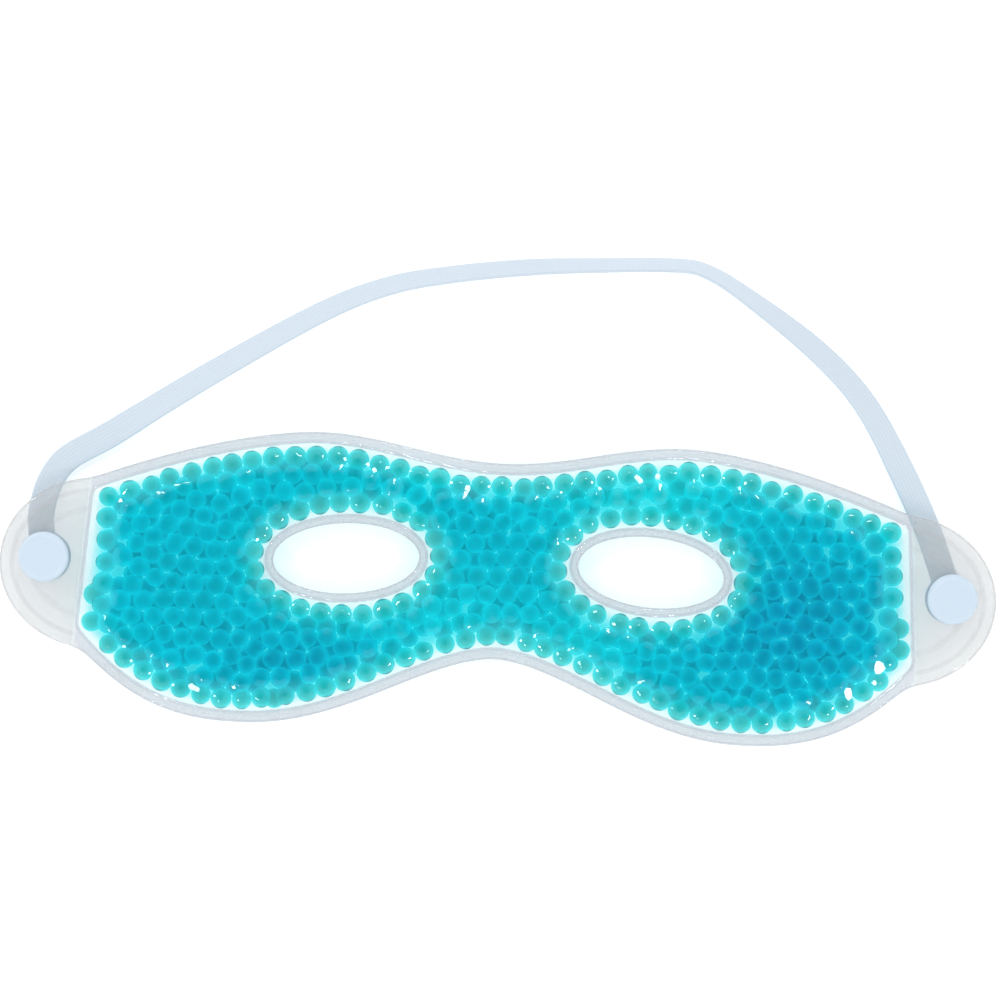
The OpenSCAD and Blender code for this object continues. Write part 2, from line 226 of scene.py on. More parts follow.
# ---- a map of the mask, seen from above ----
class Field:
    """A grid of values over the mask, read between its points."""

    STEP = 0.4
    LOW = np.array([-122.0, -44.0])
    SIZE = (611, 191)

    def __init__(self, values):
        self.v = values

    @classmethod
    def points(cls):
        x = cls.LOW[0] + cls.STEP * np.arange(cls.SIZE[0])
        y = cls.LOW[1] + cls.STEP * np.arange(cls.SIZE[1])
        return np.stack(np.meshgrid(x, y, indexing="ij"), -1).reshape(-1, 2)

    def at(self, p):
        q = (np.asarray(p) - self.LOW) / self.STEP
        i = np.clip(np.floor(q).astype(int), 0, np.array(self.SIZE) - 2)
        f = np.clip(q - i, 0, 1)
        v, (ix, iy), (fx, fy) = self.v, i.T, f.T
        return (v[ix, iy] * (1 - fx) * (1 - fy) + v[ix + 1, iy] * fx * (1 - fy)
                + v[ix, iy + 1] * (1 - fx) * fy + v[ix + 1, iy + 1] * fx * fy)

    def blurred(self, passes):
        v = self.v
        for _ in range(passes):
            for axis in (0, 1):
                p = np.pad(v, [(1, 1) if k == axis else (0, 0) for k in (0, 1)], "edge")
                a, b = np.delete(p, [0, 1], axis), np.delete(p, [-2, -1], axis)
                v = (a + 2 * v + b) / 4
        return Field(v)


def inset_field():
    """How far each place lies inside the welded seams: below 0 on the seams and outside."""
    p = Field.points()
    pouch = pouch_loop(END_REACH, 120)
    d = np.where(inside(p, pouch), 1, -1) * distance(p, pouch) - SEAM_W
    for side in (-1, 1):
        eye = eye_loop(side, 0, 60)
        d = np.minimum(d, np.where(inside(p, eye), -1, 1) * distance(p, eye) - EYE_SEAM_W)
    return Field(d.reshape(Field.SIZE)).blurred(10)


def edge_field(outline):
    """Distance inside the film's own edges: its outline and the eye holes."""
    p = Field.points()
    d = np.where(inside(p, outline), 1, -1) * distance(p, outline)
    for side in (-1, 1):
        eye = eye_loop(side, 0, 60)
        d = np.minimum(d, np.where(inside(p, eye), -1, 1) * distance(p, eye))
    return Field(d.reshape(Field.SIZE))


# ---- gel beads ----
def bead_centres(node):
    """Middle and radius of every bead in a CAD node, from its loose parts."""
    mesh = frame["nodes"][node].data
    co = np.empty(len(mesh.vertices) * 3, np.float32)
    mesh.vertices.foreach_get("co", co)
    co = co.reshape(-1, 3) / MM
    edges = np.empty(len(mesh.edges) * 2, np.int64)
    mesh.edges.foreach_get("vertices", edges)
    a, b = edges.reshape(-1, 2).T
    label = np.arange(len(co))
    while True:
        low = np.minimum(label[a], label[b])
        new = label.copy()
        np.minimum.at(new, a, low)
        np.minimum.at(new, b, low)
        new = new[new]
        if (new == label).all():
            break
        label = new
    _, part = np.unique(label, return_inverse=True)
    n = part.max() + 1
    high, lowest = np.full((n, 3), -np.inf), np.full((n, 3), np.inf)
    np.maximum.at(high, part, co)
    np.minimum.at(lowest, part, co)
    return (high + lowest) / 2, (high - lowest).max(1) / 2


# ---- sizes of the pack and the films ----
BEAD_NODES = ["rim_beads", "lower_beads", "upper_beads"]
DOME_W = 7.0           # width over which the pouch rises to its full thickness
CHAMBER_ROOM = 0.08    # kept free under and over the pack
CHAMBER_TOP = TOP_Z - FILM_T - CHAMBER_ROOM
CHAMBER_FLOOR = FILM_T + CHAMBER_ROOM
RIM_ROOM = 0.45        # between the weld and the nearest bead
RIM_OUT = 0.6          # how far the rim beads lie outside their place in the CAD
RIM_DOWN = 0.3         # and how far below it
RIM_SCATTER = 0.25
RIM_HOLD = 0.5         # share of a rim bead's drift that each pass takes back
SCATTER = 1.1
CROWD = 1.4            # least distance from an added bead to its neighbours, in radii
SQUEEZE = 0.93         # distance of beads pressed together, as a share of free ones
SIZES = (0.98, 1.1)    # spread of the beads' radii
PACK_TRIES = 30000
PACK_PASSES = 90
PUSH = 0.32            # share of an overlap that each bead gives way in a pass
FILM_ROOM = 0.06       # between a bead and the film over it
FILM_SPLIT = 0.01      # between the two films
DRAPE_PASSES = 320
NO_BEAD = -9.0         # height that stands for no bead, below any real one
LATTICE = 0.62         # spacing of the films' points

# ---- colours ----
GEL_MID = srgb(0, 194, 208)
GEL_DEEP = srgb(0, 164, 196)
GEL_PALE = srgb(120, 222, 222)
GEL_EDGE = srgb(60, 192, 184)
# GEL_GLOW: painted light, the colour given to a bead's sides as if light came through them
GEL_GLOW = srgb(90, 245, 250)
# painted shade for the outer side of each rim bead
GEL_PAINTED_SHADE = srgb(0, 88, 98)
GEL_TINT = (0.42, 0.97, 0.985)
GEL_BODY = 0.55        # how solid a bead looks in its middle
GEL_SKIN = 0.2         # and at its sides
GEL_INNER = 0.1        # light scattered in from the beads all round
GLOW_SIDE = 2.5        # how much more of it the sides show
GLOW_SHARE = 0.75      # share of GEL_GLOW, painted light, in the colour of a bead's sides
# painted shade: how much darker the top of each bead is made
CORE_SHADE = 0.2
SHADE_CRESCENT_SHARE = 0.95  # share of the painted shade colour in the crescent on a rim bead's outer side
# how much more solid a rim bead is made in its painted shade crescent
SHADE_CRESCENT_BODY = 0.75

# Places painted deeper and paler, as for light through the thickest and the thinnest gel: x, y,
# half length, half height and share
DEEP_SPOTS = [(70, -10, 24, 17, 1), (-45, -26, 22, 8, 0.7)]
PALE_SPOTS = [(34, 20, 22, 9, 0.9), (20, -17, 12, 9, 0.6), (-8, -10, 12, 9, 0.45),
              (-30, -14, 14, 5, 0.4)]

FILM_WELD = 0.19       # milkiness where the films are welded
FILM_TAB = 0.14        # and on the tabs
FILM_LINES = {"seam": 0.12, "rim": 0.1, "tab": 0.07, "tab_inner": 0.04}
FILM_RIM_COLOUR = srgb(205, 204, 214)
FILM_TAB_COLOUR = srgb(204, 204, 206)
FILM_DRY = (0.995, 1.0, 1.0)
FILM_WET = (0.55, 0.97, 0.985)


def cap_height(inset, most):
    """Height of the full pouch over the seam, at a distance inside the weld."""
    t = np.clip(inset / DOME_W, 0, 1)
    return most * np.sqrt(1 - (1 - t) ** 2)


def rise_of(field, xy):
    """The direction in which a map rises, at each place."""
    e = 2 * Field.STEP
    slope = np.stack([field.at(xy + [e, 0]) - field.at(xy - [e, 0]),
                      field.at(xy + [0, e]) - field.at(xy - [0, e])], 1)
    return slope / (np.linalg.norm(slope, axis=1, keepdims=True) + 1e-6)


def bead_pack(inset):
    """Middles, radii and groups of the gel beads: the CAD's beads, with more where there is
    room for them, loosened and pushed apart inside the pouch."""
    rng = np.random.default_rng(SEED)
    cad = [bead_centres(node) for node in BEAD_NODES]
    c = np.concatenate([m for m, _ in cad])
    size = cad[0][1].mean()
    group = np.repeat(np.arange(len(cad)), [len(m) for m, _ in cad])
    high, low = CHAMBER_TOP - SEAM_Z, SEAM_Z - CHAMBER_FLOOR
    tries = rng.uniform([-105, -42, CHAMBER_FLOOR], [105, 32, CHAMBER_TOP], (PACK_TRIES, 3))
    depth = inset.at(tries[:, :2])
    z = tries[:, 2] - SEAM_Z
    fits = (depth > size + RIM_ROOM) & (z < cap_height(depth, high) - size)
    tries = tries[fits & (z > size - cap_height(depth, low))]
    more = []
    for p in tries:
        near = np.vstack([c] + more) if more else c
        if ((near - p) ** 2).sum(1).min() > (CROWD * size) ** 2:
            more.append(p[None])
    extra = np.vstack(more)
    middle = (CHAMBER_TOP + CHAMBER_FLOOR) / 2
    group = np.concatenate([group, np.where(extra[:, 2] > middle, 2, 1)])
    c = np.vstack([c, extra])
    r = size * rng.uniform(*SIZES, len(c))
    home = c.copy()
    rim = group == 0
    home[rim, 2] -= RIM_DOWN
    home[rim, :2] += rng.normal(0, RIM_SCATTER, (rim.sum(), 2))
    home[rim, :2] -= rise_of(inset, c[rim, :2]) * RIM_OUT
    c[~rim] += rng.normal(0, SCATTER, (int((~rim).sum()), 3))
    hold = np.where(rim, RIM_HOLD, 0.0)[:, None]
    want = (r[:, None] + r[None]) * SQUEEZE
    for _ in range(PACK_PASSES):
        d = c[:, None] - c[None]
        dist = np.sqrt((d * d).sum(2)) + np.eye(len(c)) * 1e3
        push = np.maximum(want - dist, 0) * PUSH
        c = c + (d / dist[..., None] * push[..., None]).sum(1)
        c += (home - c) * hold
        xy = c[:, :2]
        short = np.maximum(r + RIM_ROOM - inset.at(xy), 0)
        c[:, :2] += rise_of(inset, xy) * short[:, None]
        depth = inset.at(c[:, :2])
        top = SEAM_Z + np.maximum(cap_height(depth, high) - r, -0.6)
        bottom = SEAM_Z - np.maximum(cap_height(depth, low) - r, 0)
        c[:, 2] = np.clip(c[:, 2], bottom, np.maximum(top, bottom))
    return c, r, group


def ball(n):
    """A unit ball as a cube of n x n panels a side: its corners and its four-sided faces."""
    points, faces, seen = [], [], {}
    steps = np.tan(np.linspace(-math.pi / 4, math.pi / 4, n + 1))
    for axis in range(3):
        for sign in (-1, 1):
            grid = np.empty((n + 1, n + 1), int)
            for i, u in enumerate(steps):
                for j, v in enumerate(steps):
                    p = np.empty(3)
                    p[axis], p[(axis + 1) % 3], p[(axis + 2) % 3] = sign, u, v
                    p /= np.linalg.norm(p)
                    key = tuple(np.round(p, 6) + 0.0)
                    if key not in seen:
                        seen[key] = len(points)
                        points.append(p)
                    grid[i, j] = seen[key]
            quads = [(grid[i, j], grid[i + 1, j], grid[i + 1, j + 1], grid[i, j + 1])
                     for i in range(n) for j in range(n)]
            faces += [q if sign > 0 else q[::-1] for q in quads]
    return np.array(points), np.array(faces)


def mesh_piece(name, verts, faces, material, body, nodes, smooth=True):
    """A shown piece from points in millimetres, which stands for the CAD nodes."""
    mesh = bpy.data.meshes.new(name)
    mesh.from_pydata((np.asarray(verts) * MM).tolist(), [], [list(map(int, f)) for f in faces])
    mesh.materials.append(material)
    if smooth:
        mesh.shade_smooth()
    obj = bpy.data.objects.new(name, mesh)
    bpy.context.scene.collection.objects.link(obj)
    if body:
        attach(obj, body)
    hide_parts(*nodes)
    return obj


def attribute(obj, name, values):
    """A number or a colour at each of the piece's points."""
    values = np.asarray(values, np.float32)
    kind, field = ("FLOAT_COLOR", "color") if values.ndim == 2 else ("FLOAT", "value")
    layer = obj.data.attributes.new(name, kind, "POINT")
    layer.data.foreach_set(field, values.ravel())


def spots(xy, places):
    """How strongly each point lies in soft oval spots, from 0 to 1."""
    total = 0
    for x, y, rx, ry, share in places:
        near = np.exp(-((xy[:, 0] - x) / rx) ** 2 - ((xy[:, 1] - y) / ry) ** 2)
        total = total + share * near[:, None]
    return np.clip(total, 0, 1)


def gel_colours(xy, inset, rng):
    """Each bead's colour, with painted light and shade: deeper in spots painted as thick gel,
    paler in spots painted as thin gel, and paler and greener near the seams, as light through the
    thin gel there.
    """
    out = np.tile(GEL_MID, (len(xy), 1))
    out += (GEL_DEEP - out) * spots(xy, DEEP_SPOTS)
    out += (GEL_PALE - out) * spots(xy, PALE_SPOTS)
    # Painted light: paler and greener towards the seams
    near = np.clip((8 - inset.at(xy)) / 5, 0, 1)[:, None]
    out += (GEL_EDGE - out) * near * 0.85
    return out * rng.uniform(0.9, 1.08, (len(xy), 1))


def gel_piece(name, node, c, r, colours, outward, panels, material):
    """One layer of beads: slightly lumpy balls, with their colour, opacity and glow at each point,
    painted light and shade among them.
    """
    unit, quads = ball(panels)
    rng = np.random.default_rng(SEED + len(c))
    stretch = rng.uniform(0.97, 1.03, (len(c), 1, 3))
    lumps = rng.normal(0, 1, (len(c), 3, 3)) @ unit.T[None]
    swell = 1 + 0.008 * np.sin(2.5 * lumps).sum(1)[..., None]
    verts = c[:, None] + unit[None] * r[:, None, None] * np.minimum(stretch * swell, 1.04)
    faces = quads[None] + (np.arange(len(c)) * len(unit))[:, None, None]
    obj = mesh_piece(name, verts.reshape(-1, 3), faces.reshape(-1, 4), material, "mask",
                     [node])
    # Painted light and shade: a bead's sides lighter towards GEL_GLOW, its top darker by
    # CORE_SHADE
    up = abs(unit[:, 2])[None, :, None]
    side = (1 - up) ** 1.3
    core = np.clip((up - 0.55) / 0.4, 0, 1)
    glow = side * GLOW_SHARE
    tint = colours[:, None] * (1 - CORE_SHADE * core) * (1 - glow) + GEL_GLOW * glow
    # Painted shade: a dark crescent on the outer side of each rim bead, more solid there and
    # without glow
    out = (unit[None, :, :2] * outward[:, None]).sum(2)
    shade_crescent = np.clip((out - 0.62) / 0.3, 0, 1)
    shade_crescent = shade_crescent * np.clip(1 - abs(unit[None, :, 2] - 0.3) / 0.5, 0, 1)
    tint = tint + (GEL_PAINTED_SHADE - tint) * shade_crescent[..., None] * SHADE_CRESCENT_SHARE
    solid = GEL_BODY - (GEL_BODY - GEL_SKIN) * side + SHADE_CRESCENT_BODY * shade_crescent[..., None]
    rgba = np.concatenate([tint, solid], 2)
    attribute(obj, "gel", rgba.reshape(-1, 4))
    light = GEL_INNER * (1 + GLOW_SIDE * side[..., 0]) * (1 - shade_crescent)
    attribute(obj, "glow", light.ravel())
    return obj


# ---- films ----
def draped(c, r, inset, sign, limit):
    """Height away from the seam of a film stretched over the beads, as a map."""
    rest = np.full(Field.SIZE, NO_BEAD)
    reach = int(math.ceil((r.max() + FILM_ROOM) / Field.STEP)) + 1
    for (x, y, z), radius in zip(c, r + FILM_ROOM):
        i0, j0 = (np.array([x, y]) - Field.LOW) // Field.STEP
        i = np.arange(int(i0) - reach, int(i0) + reach + 2)
        j = np.arange(int(j0) - reach, int(j0) + reach + 2)
        gx = (Field.LOW[0] + i * Field.STEP - x)[:, None]
        gy = (Field.LOW[1] + j * Field.STEP - y)[None]
        s = radius ** 2 - gx ** 2 - gy ** 2
        dome = np.where(s > 0, sign * (z - SEAM_Z) + np.sqrt(np.maximum(s, 0)), NO_BEAD)
        cut = np.ix_(i, j)
        rest[cut] = np.maximum(rest[cut], dome)
    welded = inset.v <= 0
    rest = np.minimum(rest, limit)
    h = np.where(welded, 0, cap_height(inset.v, limit) * 0.8)
    for _ in range(DRAPE_PASSES):
        flat = (h[2:, 1:-1] + h[:-2, 1:-1] + h[1:-1, 2:] + h[1:-1, :-2]) / 4
        h[1:-1, 1:-1] = np.maximum(rest[1:-1, 1:-1], flat)
        h[welded] = 0
    return Field(np.clip(h, 0, limit)).blurred(1)


def film_mesh(outline):
    """Points and triangles that cover the film, with its edges, eye holes and post holes."""
    holes = [spaced(eye_loop(side, 0), LATTICE) for side in (-1, 1)]
    turn = np.linspace(0, 2 * np.pi, 24, endpoint=False)
    ring = np.stack([np.cos(turn), np.sin(turn)], 1) * POST_R
    holes += [ring + [side * SNAP_X, SNAP_Y] for side in (-1, 1)]
    loops = [spaced(outline, LATTICE)] + holes
    x = np.arange(-121, 121, LATTICE)
    y = np.arange(-43, 32, LATTICE * math.sqrt(3) / 2)
    gx, gy = np.meshgrid(x, y, indexing="ij")
    gx = gx + np.where(np.arange(len(y)) % 2, LATTICE / 2, 0)[None]
    grid = np.stack([gx.ravel(), gy.ravel()], 1)
    near = Field(np.minimum(edge_field(outline).v, 9)).at(grid)
    grid = grid[near > LATTICE * 0.55]
    for side in (-1, 1):
        away = np.linalg.norm(grid - [side * SNAP_X, SNAP_Y], axis=1)
        grid = grid[away > POST_R + LATTICE * 0.5]
    points, edges = [], []
    for loop in loops:
        n, k = len(points), len(loop)
        points += loop.tolist()
        edges += [(n + i, n + (i + 1) % k) for i in range(k)]
    points += grid.tolist()
    v, _, f, *_ = delaunay_2d_cdt([Vector(p) for p in points], edges, [], 0, 1e-5)
    v = np.array([tuple(p) for p in v])
    f = np.array(f)
    mid = v[f].mean(1)
    keep = inside(mid, loops[0])
    for loop in holes:
        keep &= ~inside(mid, loop)
    f = f[keep]
    a, b = v[f[:, 1]] - v[f[:, 0]], v[f[:, 2]] - v[f[:, 0]]
    back = a[:, 0] * b[:, 1] - a[:, 1] * b[:, 0] < 0
    f[back] = f[back][:, ::-1]
    return v, f


def film_piece(name, node, flat, tris, inner, sign, marks, material):
    """A film of real thickness. inner is the height of its inner face away from the seam."""
    base = SEAM_Z + sign * (inner + FILM_SPLIT)
    face = np.column_stack([flat, base])
    away = face + [0, 0, sign * (FILM_T - FILM_SPLIT)]
    n = len(flat)
    outer = tris if sign > 0 else tris[:, ::-1]
    edge = np.concatenate([tris[:, [0, 1]], tris[:, [1, 2]], tris[:, [2, 0]]])
    codes = edge[:, 0] * n + edge[:, 1]
    rim = edge[~np.isin(edge[:, 1] * n + edge[:, 0], codes)]
    a, b = rim[:, 0], rim[:, 1]
    side = np.column_stack([a + n, b + n, b]), np.column_stack([a + n, b, a])
    if sign > 0:
        side = [s[:, ::-1] for s in side]
    faces = np.concatenate([outer + n, outer[:, ::-1], *side])
    obj = mesh_piece(name, np.vstack([face, away]), faces, material, "mask", [node])
    for key, value in marks.items():
        attribute(obj, key, np.tile(value, 2))
    return obj


# ---- press studs ----
def filleted(profile, radius, steps=4):
    """A closed profile with its corners rounded off, except those on the axis."""
    p = np.array(profile, float)
    out = []
    for before, at, after in zip(np.roll(p, 1, 0), p, np.roll(p, -1, 0)):
        if at[0] < 1e-6:
            out.append(at)
            continue
        u, w = before - at, after - at
        d = min(radius, np.linalg.norm(u) * 0.45, np.linalg.norm(w) * 0.45)
        u, w = at + u / np.linalg.norm(u) * d, at + w / np.linalg.norm(w) * d
        for t in np.linspace(0, 1, steps + 1):
            out.append((1 - t) ** 2 * u + 2 * t * (1 - t) * at + t * t * w)
    return np.array(out)


def lathe(name, node, side, profile, body, material, segments=96):
    """A turned part round the press stud's axis, from a profile of (radius, height)."""
    p = filleted(profile, 0.14)
    turn = np.linspace(0, 2 * np.pi, segments, endpoint=False)
    verts, index = [], []
    for radius, z in p:
        if radius < 1e-6:
            index.append([len(verts)] * segments)
            verts.append((side * SNAP_X, SNAP_Y, z))
            continue
        index.append(list(range(len(verts), len(verts) + segments)))
        verts += [(side * SNAP_X + radius * c, SNAP_Y + radius * s, z)
                  for c, s in zip(np.cos(turn), np.sin(turn))]
    faces = []
    for k in range(len(p)):
        a, b = index[k], index[(k + 1) % len(p)]
        for i in range(segments):
            j = (i + 1) % segments
            face = list(dict.fromkeys([a[i], a[j], b[j], b[i]]))
            if len(face) > 2:
                faces.append(face)
    return mesh_piece(name, verts, faces, material, body, [node])


# ---- strap ----
def strap_line(step):
    """Even places along the strap's middle, each x, y and lean, with its tails."""
    keys = np.array([(x * SNAP_X, SNAP_Y + y * STRAP_RISE, lean) for x, y, lean in STRAP_ROUTE])
    pad = np.vstack([keys[:1], keys, keys[-1:]])
    out = []
    for a, b, c, d in zip(pad, pad[1:], pad[2:], pad[3:]):
        t = np.linspace(0, 1, 24, endpoint=False)[:, None]
        out.append(b + 0.5 * t * (c - a + t * (2 * a - 5 * b + 4 * c - d
                                               + t * (3 * (b - c) + d - a))))
    line = np.vstack(out + [keys[-1:]])
    for end, inner in ((0, 4), (-1, -5)):
        way = line[end, :2] - line[inner, :2]
        tail = line[end].copy()
        tail[:2] += way / np.linalg.norm(way) * (STRAP_TAIL + STRAP_W / 2)
        line = np.vstack([tail, line]) if end == 0 else np.vstack([line, tail])
    s = np.concatenate([[0], np.cumsum(np.linalg.norm(np.diff(line[:, :2], axis=0), axis=1))])
    at = np.linspace(0, s[-1], round(s[-1] / step) + 1)
    return np.stack([np.interp(at, s, line[:, k]) for k in range(3)], 1), at


def strap_piece(material):
    """The whole strap, flat at its ends and leaning on its outer edge past the fold line."""
    line, at = strap_line(0.7)
    way = np.gradient(line[:, :2], axis=0)
    way /= np.linalg.norm(way, axis=1, keepdims=True)
    n = np.stack([way[:, 1], -way[:, 0]], 1)
    past = np.maximum(line[:, 1] - FOLD_Y, 0)
    turn = ease(np.minimum(past / FOLD_EASE, 1))
    lean = np.radians(line[:, 2]) * turn
    lift = (STRAP_Z - STRAP_T / 2) * (1 - ease(np.minimum(past / LIFT_EASE, 1)))
    low = STRAP_W / 2 * np.sin(lean) + STRAP_T / 2 * np.cos(lean) + lift
    ends = np.minimum(at, at[-1] - at)
    short = np.clip(ends / (STRAP_W / 2), 0.02, 1)
    half = STRAP_W / 2 * np.sqrt(1 - (1 - short) ** 2)
    # Across it: a flat band with rounded edges and fine ribs along its faces
    u = np.linspace(-1, 1, 33)
    thin = np.sqrt(np.clip(1 - np.abs(u) ** 14, 0, 1)) * 0.94 + 0.02 * np.cos(u * math.pi * 8)
    thin[[0, -1]] = 0.05
    ring_u = np.concatenate([u, u[::-1]])
    ring_t = np.concatenate([thin, -thin[::-1]]) * STRAP_T / 2
    centre = np.column_stack([line[:, :2], low])
    wide = np.column_stack([n * np.cos(lean)[:, None], np.sin(lean)])
    over = np.column_stack([-n * np.sin(lean)[:, None], np.cos(lean)])
    verts = (centre[:, None] + wide[:, None] * (half[:, None] * ring_u[None])[..., None]
             + over[:, None] * ring_t[None, :, None])
    k, m = len(ring_u), len(line)
    i = np.arange(m - 1)[:, None] * k
    j = np.arange(k)[None]
    j2 = (j + 1) % k
    faces = np.stack([i + j, i + k + j, i + k + j2, i + j2], -1).reshape(-1, 4).tolist()
    faces += [list(range(k)), list(range((m - 1) * k, m * k))[::-1]]
    obj = mesh_piece("strap", verts.reshape(-1, 3), faces, material, None,
                     ["left_strap_end", "right_strap_end", "strap_band"])
    weave = np.stack([np.broadcast_to(at[:, None], (m, k)), half[:, None] * ring_u[None]], -1)
    for k, key in enumerate(("along", "across")):
        attribute(obj, key, weave[..., k].ravel())
    return obj


# ---- materials ----
def material(name):
    """A material with its nodes cleared: the material, a maker of nodes and a linker."""
    mat = bpy.data.materials.new(name)
    mat.use_nodes = True
    tree = mat.node_tree
    tree.nodes.clear()

    def add(kind, **inputs):
        node = tree.nodes.new("ShaderNode" + kind)
        for key, value in inputs.items():
            socket = node.inputs[key.replace("_", " ")]
            if isinstance(value, bpy.types.NodeSocket):
                tree.links.new(value, socket)
            else:
                socket.default_value = value
        return node

    def out(shader):
        tree.links.new(shader, add("OutputMaterial").inputs["Surface"])

    return mat, add, out, tree


def read(add, name):
    node = add("Attribute")
    node.attribute_name = name
    return node


def maths(add, op, a, b=0.0, c=0.0):
    node = add("Math")
    node.operation = op
    for socket, value in zip(node.inputs, (a, b, c)):
        if isinstance(value, bpy.types.NodeSocket):
            node.id_data.links.new(value, socket)
        else:
            socket.default_value = value
    return node.outputs[0]


def band(add, value, centre, half, soft):
    """1 where value is within half of centre, falling to 0 over soft."""
    away = maths(add, "ABSOLUTE", maths(add, "SUBTRACT", value, centre))
    node = add("MapRange", Value=away, From_Min=half, From_Max=half + soft, To_Min=1.0, To_Max=0.0)
    node.interpolation_type = "SMOOTHSTEP"
    return node.outputs[0]


def step_up(add, value, low, high):
    node = add("MapRange", Value=value, From_Min=low, From_Max=high, To_Min=0.0, To_Max=1.0)
    node.interpolation_type = "SMOOTHSTEP"
    return node.outputs[0]


def gel_material():
    """Wet gel, more see-through where a bead's alpha is low."""
    mat, add, out, tree = material("gel_bead")
    colour = read(add, "gel")
    body = add("BsdfPrincipled", Base_Color=colour.outputs["Color"], Roughness=0.2, IOR=1.3)
    body.inputs["Subsurface Weight"].default_value = 1.0
    body.inputs["Subsurface Radius"].default_value = (0.15, 1.0, 1.0)
    body.inputs["Subsurface Scale"].default_value = 0.006
    # Light scattered in from the beads all round, which the few bounces inside a bead miss
    tree.links.new(colour.outputs["Color"], body.inputs["Emission Color"])
    tree.links.new(read(add, "glow").outputs["Fac"], body.inputs["Emission Strength"])
    clear = add("BsdfTransparent", Color=(*GEL_TINT, 1))
    mix = add("MixShader")
    tree.links.new(colour.outputs["Alpha"], mix.inputs[0])
    tree.links.new(clear.outputs[0], mix.inputs[1])
    tree.links.new(body.outputs[0], mix.inputs[2])
    out(mix.outputs[0])
    return mat


def film_material(name):
    """Clear film: glossy outside, milky where it is welded and on the tabs, and tinted by the
    moisture between the beads."""
    mat, add, out, tree = material(name)
    inset = read(add, "inset").outputs["Fac"]
    edge = read(add, "edge").outputs["Fac"]
    tab = read(add, "tab").outputs["Fac"]
    weld = maths(add, "MULTIPLY", maths(add, "SUBTRACT", 1.0, step_up(add, inset, -0.1, 0.5)),
                 maths(add, "SUBTRACT", 1.0, step_up(add, tab, 0.0, 1.0)))
    on_tab = step_up(add, tab, 0.2, 1.2)
    lines = {
        "seam": band(add, inset, -0.1, 0.1, 0.5),
        "rim": band(add, edge, 0.0, 0.25, 0.4),
        "tab": maths(add, "MULTIPLY", band(add, edge, 3.0, 0.15, 0.8), on_tab),
        "tab_inner": maths(add, "MULTIPLY", band(add, edge, 7.5, 0.15, 1.2), on_tab),
    }
    total = maths(add, "MULTIPLY", weld, FILM_WELD)
    total = maths(add, "MULTIPLY_ADD", on_tab, FILM_TAB, total)
    for key, line in lines.items():
        total = maths(add, "MULTIPLY_ADD", line, FILM_LINES[key], total)
    mix = add("Mix")
    mix.data_type = "RGBA"
    tree.links.new(on_tab, mix.inputs["Factor"])
    mix.inputs["A"].default_value = (*FILM_RIM_COLOUR, 1)
    mix.inputs["B"].default_value = (*FILM_TAB_COLOUR, 1)
    veil = add("BsdfDiffuse")
    tree.links.new(mix.outputs["Result"], veil.inputs["Color"])
    wet = add("Mix")
    wet.data_type = "RGBA"
    tree.links.new(step_up(add, inset, 0.6, 6.0), wet.inputs["Factor"])
    wet.inputs["A"].default_value = (*FILM_DRY, 1)
    wet.inputs["B"].default_value = (*FILM_WET, 1)
    clear = add("BsdfTransparent")
    tree.links.new(wet.outputs["Result"], clear.inputs["Color"])
    gloss = add("BsdfGlossy", Roughness=0.04)
    fresnel = add("Fresnel", IOR=1.5)
    shiny = add("MixShader")
    # Only outer faces reflect: a ray isn't bent here, so an inner face would act as a mirror
    outer = maths(add, "SUBTRACT", 1.0, add("NewGeometry").outputs["Backfacing"])
    tree.links.new(maths(add, "MULTIPLY", fresnel.outputs[0], outer), shiny.inputs[0])
    tree.links.new(clear.outputs[0], shiny.inputs[1])
    tree.links.new(gloss.outputs[0], shiny.inputs[2])
    both = add("MixShader")
    tree.links.new(total, both.inputs[0])
    tree.links.new(shiny.outputs[0], both.inputs[1])
    tree.links.new(veil.outputs[0], both.inputs[2])
    out(both.outputs[0])
    return mat


def plastic_material():
    mat, add, out, _ = material("snap_plastic")
    body = add("BsdfPrincipled", Base_Color=(*srgb(205, 221, 236), 1), Roughness=0.38)
    out(body.outputs[0])
    return mat


def elastic_material():
    mat, add, out, tree = material("elastic")
    along = read(add, "along").outputs["Fac"]
    across = read(add, "across").outputs["Fac"]
    ribs = maths(add, "SINE", maths(add, "MULTIPLY", across, 2 * math.pi / 0.8))
    picks = maths(add, "SINE", maths(add, "MULTIPLY", along, 2 * math.pi / 0.55))
    weave = maths(add, "MULTIPLY_ADD", ribs, 0.6, maths(add, "MULTIPLY", picks, 0.4))
    bump = add("Bump", Strength=0.25, Distance=0.00008, Height=weave)
    # Painted shade: the weave's hollows darker and its ribs lighter, following the bump's height
    shade = add("MapRange", Value=weave, From_Min=-1.0, From_Max=1.0, To_Min=0.0, To_Max=1.0)
    mix = add("Mix")
    mix.data_type = "RGBA"
    tree.links.new(shade.outputs[0], mix.inputs["Factor"])
    mix.inputs["A"].default_value = (*srgb(198, 212, 225), 1)
    mix.inputs["B"].default_value = (*srgb(210, 222, 232), 1)
    body = add("BsdfPrincipled", Roughness=0.75, Normal=bump.outputs[0])
    tree.links.new(mix.outputs["Result"], body.inputs["Base Color"])
    body.inputs["Sheen Weight"].default_value = 0.15
    out(body.outputs[0])
    return mat


# ---- the mask ----
OUTLINE = film_loop(LATTICE)
INSET = inset_field()
centres, radii, groups = bead_pack(INSET)
gel = gel_material()
tones = gel_colours(centres[:, :2], INSET, np.random.default_rng(SEED))
outward = -rise_of(INSET, centres[:, :2])
for g, (node, panels, weight) in enumerate(zip(BEAD_NODES, (7, 4, 7), (1, 0, 0))):
    mine = groups == g
    gel_piece("gel_" + node.split("_")[0], node, centres[mine], radii[mine], tones[mine],
              outward[mine] * weight, panels, gel)

